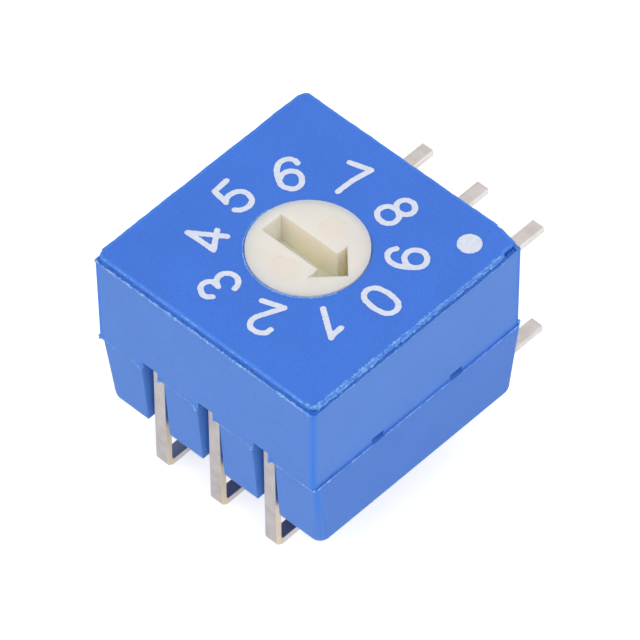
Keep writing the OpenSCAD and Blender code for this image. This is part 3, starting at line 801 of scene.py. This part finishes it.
# A dark bead in the gap between the cover and the rim, under the lip, as painted shade of that gap: how far
# out it lies, and how it turns the corners
gap_shade_z = rim_z + 0.025
gap, gap_r, bend = 4.91, 0.21, 4.7
melt = row((gap, 4.2, gap_shade_z), (gap, -bend, gap_shade_z), 40) + lip_corner((bend, -bend), gap_r, 0, -90, gap_shade_z)
melt += row((4.6, -gap, gap_shade_z), (-4.6, -gap, gap_shade_z), 40)
melt += lip_corner((-bend, -bend), gap_r, -90, -180, gap_shade_z)
melt += row((-gap, -4.6, gap_shade_z), (-gap, 4.6, gap_shade_z), 40)
melt += lip_corner((-bend, bend), gap_r, 180, 90, gap_shade_z)
melt += row((-4.6, gap, gap_shade_z), (4.0, gap, gap_shade_z), 40)
# Melt that has run into the pit under the notch
pit_z = rim_z - 0.1
pit_melt = row((4.8, 4.3, pit_z), (4.8, 4.8, pit_z), 12) + row((4.7, 4.82, pit_z), (4.15, 4.84, pit_z), 12)
# A pale bead round the dial's bore, on the side towards -Y: painted highlight of the bore's lit edge
bore_highlight_r = 2.165
bore = lip_corner((0, 0), bore_highlight_r, 170, 250, lip_z - 0.004)[:-1]
bore += lip_corner((0, 0), bore_highlight_r, 250, 340, lip_z - 0.004)
# Thin web left in the bore, just clear of the dial
web_r = 2.119
web = lip_corner((0, 0), web_r, 170, 250, lip_z - 0.02)[:-1]
web += lip_corner((0, 0), web_r, 250, 340, lip_z - 0.02)
# Burr turned out over the housing's rim
burr = row((-rim_x + 0.05, -rim_y + 0.005, rim_z - 0.04), (rim_x - 0.1, -rim_y + 0.005, rim_z - 0.04), 80)
side_burr = row((rim_x - 0.01, -rim_y + 0.2, rim_z - 0.01), (rim_x - 0.01, rim_y - 0.4, rim_z - 0.01), 60)
ear = row((-rim_x, -rim_y + 0.02, rim_z - 0.12), (-rim_x + 0.01, -rim_y + 0.03, rim_z + 0.05), 6)
# Flash where the mould halves meet
seam_side = [
    row((BLOCK_SIDE, y0, seam_z + 0.015), (BLOCK_SIDE, y1, seam_z + 0.015), 40)
    for y0, y1 in ((-4.85, -2.2), (-1.6, 1.6), (2.2, 4.9))
]
dashes = row((4.99, -4.75, seam_z + 0.03), (4.99, -3.3, seam_z + 0.03), 30)
seam_front = [
    row((x0, WALL_FRONT, seam_z + 0.01), (x1, WALL_FRONT, seam_z + 0.01), 20)
    for x0, x1 in ((-4.85, -3.1), (-2.0, -0.55), (0.55, 2.0), (3.08, 4.88))
]
spots = [
    row((4.9, -4.98, seam_z + 0.02), (4.97, -4.93, seam_z + 0.02), 4),
    row((-4.9, -4.97, seam_z + 0.1), (-4.9, -4.97, seam_z - 0.06), 5),
    row((4.91, 4.96, seam_z + 0.05), (4.94, 4.98, seam_z + 0.22), 5),
]
# Shavings at the slots' tops, where the steel of both halves rubs along the leads
shavings = [
    row((x - 0.62, -4.985, seam_z), (x - 0.48, -4.985, seam_z - 0.01), 6)
    + row((x - 0.46, -4.96, seam_z - 0.04), (x - 0.48, -4.94, seam_z - 0.2), 6)
    for x in SLOTS
]
shavings += [row((x + 0.36, -5.01, seam_z + 0.01), (x + 0.46, -5.01, seam_z + 0.01), 5) for x in SLOTS]

for name, slot, paths, tree, sizes in (
    ("weld_bead_right", "cover_blue", [heavy], BEAD,
     dict(Width=0.1, Height=0.08, Stray=0.022, Grain=0.2, Gaps=0.0, Step=0.018, Seed=3)),
    ("weld_bead_corner", "cover_blue", [turn], BEAD,
     dict(Width=0.1, Height=0.08, Stray=0.025, Grain=0.16, Gaps=-0.14, Step=0.014, Seed=23)),
    ("weld_crumbs_corner", "cover_blue", [turn], CRUMBS,
     dict(Size=0.045, Spread=0.06, Step=0.014, Share=0.6, Seed=25)),
    ("weld_sag_right", "cover_blue", [sag], BEAD,
     dict(Width=0.07, Height=0.11, Stray=0.014, Grain=0.3, Gaps=-0.04, Step=0.02, Seed=9)),
    ("weld_crumbs_right", "cover_blue", [heavy], CRUMBS,
     dict(Size=0.045, Spread=0.055, Step=0.018, Share=0.6, Seed=5)),
    ("bore_painted_highlight", "cover_blue", [bore], BEAD,
     dict(Width=0.05, Height=0.04, Stray=0.006, Grain=0.3, Gaps=-0.12, Step=0.02, Seed=17)),
    ("bore_web", "cover_blue", [web], BEAD,
     dict(Width=0.018, Height=0.014, Stray=0.0, Grain=0.3, Gaps=-0.12, Step=0.02, Seed=19)),
    ("weld_bead_front", "cover_blue", [front], BEAD,
     dict(Width=0.04, Height=0.04, Stray=0.006, Grain=0.3, Gaps=0.04, Step=0.02, Seed=14)),
    ("rim_burr_front", "body_blue", [burr], BEAD,
     dict(Width=0.07, Height=0.085, Stray=0.02, Grain=0.2, Gaps=-0.1, Step=0.018, Seed=31)),
    ("rim_crumbs_front", "body_blue", [burr], CRUMBS,
     dict(Size=0.045, Spread=0.03, Step=0.03, Share=0.4, Seed=35)),
    ("rim_burr_right", "body_blue", [side_burr, ear], BEAD,
     dict(Width=0.035, Height=0.035, Stray=0.006, Grain=0.3, Gaps=0.0, Step=0.02, Seed=38)),
    ("seam_flash_right", "body_blue", seam_side, BEAD,
     dict(Width=0.03, Height=0.03, Stray=0.004, Grain=0.5, Gaps=-0.06, Step=0.03, Seed=41)),
    ("seam_dashes_right", "body_blue", [dashes], BEAD,
     dict(Width=0.035, Height=0.05, Stray=0.006, Grain=0.2, Gaps=0.04, Step=0.02, Seed=43)),
    ("seam_flash_front", "body_blue", seam_front, BEAD,
     dict(Width=0.02, Height=0.025, Stray=0.003, Grain=0.4, Gaps=-0.02, Step=0.025, Seed=47)),
    ("seam_spots", "body_blue", spots, BEAD,
     dict(Width=0.075, Height=0.075, Stray=0.006, Grain=0.2, Gaps=-0.2, Step=0.015, Seed=51)),
    ("slot_shavings", "body_blue", shavings, BEAD,
     dict(Width=0.13, Height=0.1, Stray=0.012, Grain=0.15, Gaps=-0.1, Step=0.012, Seed=55)),
):
    # The pale flash and weld colours are partly painted highlight on edges that catch the light
    bluer = name.startswith(("weld", "bore", "rim_burr_right"))
    seam(name, paths, tree, WELD_BLUE if bluer else FLASH_BLUE, **sizes)
smooth = dict(Width=0.05, Height=0.045, Stray=0.0, Grain=1.5, Gaps=-0.3, Step=0.04, Seed=21)
# The smooth bead takes the rolled edges' lighter blue: painted highlight
seam("weld_bead_back", [back, left, notch], BEAD, EDGE_BLUE, **smooth)
# The bead in the gap under the lip is deep blue: painted shade
gap_shade_sizes = dict(Width=0.12, Height=0.12, Stray=0.004, Grain=0.5, Gaps=-0.3, Step=0.03, Seed=61)
seam("gap_shade_bead", [melt], BEAD, GAP_SHADE_BLUE, **gap_shade_sizes)
pooled = dict(Width=0.2, Height=0.12, Stray=0.006, Grain=0.4, Gaps=-0.3, Step=0.03, Seed=65)
seam("pit_melt", [pit_melt], BEAD, COVER_BLUE, **pooled)


# ---------------------------------------------------------------- printed figures
# Strokes of each figure, as points (right, up) in millimetres from its centre
FIGURES = {
    0: [[(0.08, 0.65), (0.37, 0.50), (0.46, 0.15), (0.46, -0.15), (0.37, -0.50), (0.08, -0.66),
         (-0.21, -0.50), (-0.31, -0.15), (-0.31, 0.15), (-0.21, 0.50), (0.08, 0.65)]],
    1: [[(0.01, -0.61), (-0.02, 0.69)],
        [(-0.02, 0.67), (-0.16, 0.52), (-0.42, 0.33)]],
    2: [[(-0.43, 0.40), (-0.33, 0.60), (-0.05, 0.68), (0.23, 0.57), (0.31, 0.32), (0.22, 0.08),
         (-0.05, -0.22), (-0.43, -0.64)],
        [(-0.43, -0.64), (0.37, -0.61)]],
    3: [[(-0.41, 0.43), (-0.30, 0.61), (-0.10, 0.66), (0.15, 0.57), (0.26, 0.36), (0.18, 0.14),
         (-0.10, 0.05)],
        [(-0.10, 0.05), (0.16, -0.02), (0.31, -0.27), (0.21, -0.55), (-0.05, -0.67), (-0.32, -0.58),
         (-0.45, -0.38)]],
    4: [[(0.13, -0.68), (0.14, 0.65)],
        [(0.14, 0.65), (-0.20, 0.13), (-0.52, -0.31)],
        [(-0.52, -0.31), (0.36, -0.31)]],
    5: [[(0.26, 0.64), (-0.35, 0.60)],
        [(-0.35, 0.60), (-0.45, -0.02)],
        [(-0.45, -0.02), (-0.30, 0.09), (-0.08, 0.12), (0.21, 0.00), (0.32, -0.28), (0.20, -0.58),
         (-0.06, -0.69), (-0.34, -0.62), (-0.49, -0.46)]],
    6: [[(0.33, 0.37), (0.23, 0.54), (-0.01, 0.61), (-0.28, 0.48), (-0.41, 0.15), (-0.42, -0.20),
         (-0.33, -0.55), (-0.01, -0.73), (0.26, -0.60), (0.35, -0.30), (0.26, -0.04), (0.03, 0.07),
         (-0.25, -0.02), (-0.40, -0.25)]],
    7: [[(-0.33, 0.59), (0.47, 0.58)],
        [(0.47, 0.58), (0.26, 0.20), (0.08, -0.15), (-0.13, -0.74)]],
    8: [[(0.04, 0.60), (0.29, 0.50), (0.37, 0.29), (0.28, 0.08), (0.04, -0.02), (-0.20, 0.08),
         (-0.29, 0.29), (-0.20, 0.50), (0.04, 0.60)],
        [(0.05, -0.02), (0.33, -0.13), (0.44, -0.38), (0.33, -0.63), (0.05, -0.73), (-0.23, -0.63),
         (-0.33, -0.38), (-0.23, -0.13), (0.05, -0.02)]],
    9: [[(-0.28, -0.45), (-0.17, -0.64), (0.05, -0.71), (0.33, -0.57), (0.47, -0.25), (0.48, 0.20),
         (0.37, 0.52), (0.08, 0.62), (-0.20, 0.50), (-0.30, 0.24), (-0.20, -0.03), (0.08, -0.14),
         (0.35, -0.03), (0.47, 0.15)]],
}


def smooth_path(points, steps=8):
    """Points along a curve that passes through the given ones. Two points make a straight stroke."""
    p = [np.array(q, float) for q in points]
    closed = len(p) > 3 and np.allclose(p[0], p[-1])
    ends = (p[-2], p[1]) if closed else (2 * p[0] - p[1], 2 * p[-1] - p[-2])
    p = [ends[0], *p, ends[1]]
    path = []
    for a, b, c, d in zip(p, p[1:], p[2:], p[3:]):
        for t in np.linspace(0, 1, steps, endpoint=False):
            square = (2 * a - 5 * b + 4 * c - d) * t**2
            cube = (3 * b - a - 3 * c + d) * t**3
            path.append(0.5 * (2 * b + (c - a) * t + square + cube))
    return np.array([*path, p[-2]])


def stroke_distance(xy, paths):
    """Distance of each point from the nearest stroke."""
    best = np.full(len(xy), 9.0)
    for path in paths:
        for a, b in zip(path, path[1:]):
            run = b - a
            t = np.clip((xy - a) @ run / max(run @ run, 1e-12), 0, 1)
            best = np.minimum(best, np.linalg.norm(xy - a - t[:, None] * run, axis=1))
    return best


def ragged(xy, seed):
    """How far the ink's edge strays at each point: slow waves with finer ones on them."""
    waves = ((0.016, 9), (0.010, 22))
    return np.array([sum(a * noise.noise((x * f, y * f, seed)) for a, f in waves) for x, y in xy])


def inked_cells(bm, field, corners, base, top):
    """Fills the part of a grid where field is negative, as one raised and closed layer of ink."""
    rows, columns = field.shape
    shared = {}

    def vertex(key, xy, z):
        """The vertex at a corner or a crossing, made once for each level."""
        if (key, z) not in shared:
            shared[key, z] = bm.verts.new((xy[0] * MM, xy[1] * MM, z * MM))
        return shared[key, z]

    for i in range(rows - 1):
        for j in range(columns - 1):
            ring = [(i, j), (i, j + 1), (i + 1, j + 1), (i + 1, j)]
            inside = [field[c] < 0 for c in ring]
            if not any(inside):
                continue
            outline = []
            for n in range(4):
                a, b = ring[n], ring[(n + 1) % 4]
                if inside[n]:
                    outline.append((a, corners[a], False))
                if inside[n] != inside[(n + 1) % 4]:
                    t = field[a] / (field[a] - field[b])
                    outline.append((tuple(sorted((a, b))), corners[a] * (1 - t) + corners[b] * t, True))
            if len(outline) < 3:
                continue
            upper = [vertex(key, xy, top) for key, xy, _ in outline]
            lower = [vertex(key, xy, base) for key, xy, _ in outline]
            bm.faces.new(upper)
            bm.faces.new(lower[::-1])
            for n in range(len(outline)):
                m = (n + 1) % len(outline)
                if outline[n][2] and outline[m][2]:
                    bm.faces.new((upper[m], upper[n], lower[n], lower[m]))


def printed_shape(name, centre, turn, extent, distance, base):
    """One printed shape: distance gives how far a point is outside it."""
    across = np.arange(-extent[0], extent[0] + INK_CELL, INK_CELL)
    along = np.arange(-extent[1], extent[1] + INK_CELL, INK_CELL)
    x, y = np.meshgrid(across, along)
    flat = np.stack([x.ravel(), y.ravel()], axis=1)
    field = distance(flat) + ragged(flat, sum(ord(c) for c in name))
    c, s = math.cos(turn), math.sin(turn)
    placed = flat @ np.array([[c, s], [-s, c]]) + centre
    bm = bmesh.new()
    inked_cells(bm, field.reshape(x.shape), placed.reshape(*x.shape, 2), base - 0.004, base + INK_THICKNESS)
    bmesh.ops.recalc_face_normals(bm, faces=bm.faces)
    mesh = bpy.data.meshes.new(name)
    bm.to_mesh(mesh)
    bm.free()
    mesh.materials.append(INK)
    printed = new_piece(name, mesh)
    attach(printed, "housing")


for figure, strokes in FIGURES.items():
    bearing = -math.radians(36 * figure)
    paths = [smooth_path(s) for s in strokes]
    printed_shape(
        f"printed_{figure}",
        FIGURE_RADIUS * np.array([math.cos(bearing), math.sin(bearing)]) + PRINT_OFF + FIGURE_SHIFT[figure],
        bearing - math.pi / 2,
        (0.75, 0.92),
        lambda xy: stroke_distance(xy, paths) - INK_STROKE / 2,
        cover_top,
    )
printed_shape(
    "printed_dot",
    np.array(DOT_CENTRE),
    0,
    (0.55, 0.55),
    lambda xy: np.linalg.norm(xy, axis=1) - DOT_RADIUS,
    cover_top,
)


# ---------------------------------------------------------------- studio
def paper_floor():
    """White paper under the switch, which glows where the camera or a glossy face looks at it."""
    half = 0.6
    corners = [(x * half, y * half, -0.00002) for x, y in ((-1, -1), (1, -1), (1, 1), (-1, 1))]
    bm = bmesh.new()
    bm.faces.new([bm.verts.new(corner) for corner in corners])
    floor_mesh = bpy.data.meshes.new("floor")
    bm.to_mesh(floor_mesh)
    bm.free()
    floor = new_piece("floor", floor_mesh)
    paper, tree = blank_material("white_paper")
    rays = add(tree, "ShaderNodeLightPath").outputs
    matt = add(tree, "ShaderNodeBsdfDiffuse", {"Color": colour("#e4e4e4")})
    shown = add(tree, "ShaderNodeMath", {0: rays["Is Camera Ray"], 1: 0.62}, operation="MULTIPLY").outputs[0]
    mirrored = add(
        tree, "ShaderNodeMath", {0: rays["Is Glossy Ray"], 1: 0.36}, operation="MULTIPLY"
    ).outputs[0]
    strength = add(tree, "ShaderNodeMath", {0: shown, 1: mirrored}, operation="ADD").outputs[0]
    glow = add(tree, "ShaderNodeEmission", {"Strength": strength})
    both = add(tree, "ShaderNodeAddShader", {0: matt.outputs[0], 1: glow.outputs[0]})
    add(tree, "ShaderNodeOutputMaterial", {"Surface": both.outputs[0]})
    floor.data.materials.append(paper)


def plain_world():
    """A white world, dimmer as a light than it looks."""
    world = bpy.data.worlds.new("studio")
    bpy.context.scene.world = world
    world.use_nodes = True
    tree = world.node_tree
    tree.nodes.clear()
    rays = add(tree, "ShaderNodeLightPath").outputs
    seen = {0: rays["Is Camera Ray"], 1: rays["Is Glossy Ray"]}
    seen = add(tree, "ShaderNodeMath", seen, operation="MAXIMUM").outputs[0]
    seen = {0: seen, 1: rays["Is Transmission Ray"]}
    seen = add(tree, "ShaderNodeMath", seen, operation="MAXIMUM").outputs[0]
    strength = add(tree, "ShaderNodeMapRange", {"Value": seen, "To Min": 0.65, "To Max": 1.0}).outputs[0]
    sky = add(tree, "ShaderNodeBackground", {"Color": (1, 1, 1, 1), "Strength": strength})
    add(tree, "ShaderNodeOutputWorld", {"Surface": sky.outputs[0]})


def soft_lamps():
    """Three square lamps that face the switch: place and size in metres, power in watts."""
    target = Vector((0, 0, 0.005))
    for name, place, size, power in (
        ("key", (-0.10, -0.24, 0.24), 0.22, 0.27),
        ("fill", (0.26, -0.06, 0.2), 0.22, 0.235),
        ("back", (0.02, 0.24, 0.28), 0.2, 0.15),
    ):
        lamp = bpy.data.lights.new(name, "AREA")
        lamp.shape = "SQUARE"
        lamp.size = size
        lamp.energy = power
        holder = bpy.data.objects.new(name, lamp)
        bpy.context.scene.collection.objects.link(holder)
        holder.location = place
        holder.rotation_euler = (target - Vector(place)).to_track_quat("-Z", "Y").to_euler()


def set_camera(aim, azimuth, elevation, roll, distance, lens):
    """Camera that looks at aim from that bearing: azimuth 0 looks along +Y and 90 along -X. Aim, distance
    and lens are in millimetres, the rest in degrees."""
    a, e = math.radians(azimuth), math.radians(elevation)
    back = Vector((math.sin(a) * math.cos(e), -math.cos(a) * math.cos(e), math.sin(e)))
    right = Vector((math.cos(a), math.sin(a), 0))
    turn = Matrix((right, back.cross(right), back)).transposed().to_4x4()
    lens_data = bpy.data.cameras.new("camera")
    lens_data.lens = lens
    lens_data.sensor_width = 36
    lens_data.clip_start = 0.01
    made = bpy.data.objects.new("camera", lens_data)
    bpy.context.scene.collection.objects.link(made)
    place = Matrix.Translation(Vector(aim) * MM + back * distance * MM)
    made.matrix_world = place @ turn @ Matrix.Rotation(math.radians(roll), 4, "Z")
    bpy.context.scene.camera = made


paper_floor()
plain_world()
soft_lamps()
set_camera(
    aim=(1.413, -0.934, 7.517), azimuth=44.131, elevation=49.315, roll=-0.835, distance=292.98, lens=498.66
)
bpy.context.scene.view_settings.view_transform = "Standard"
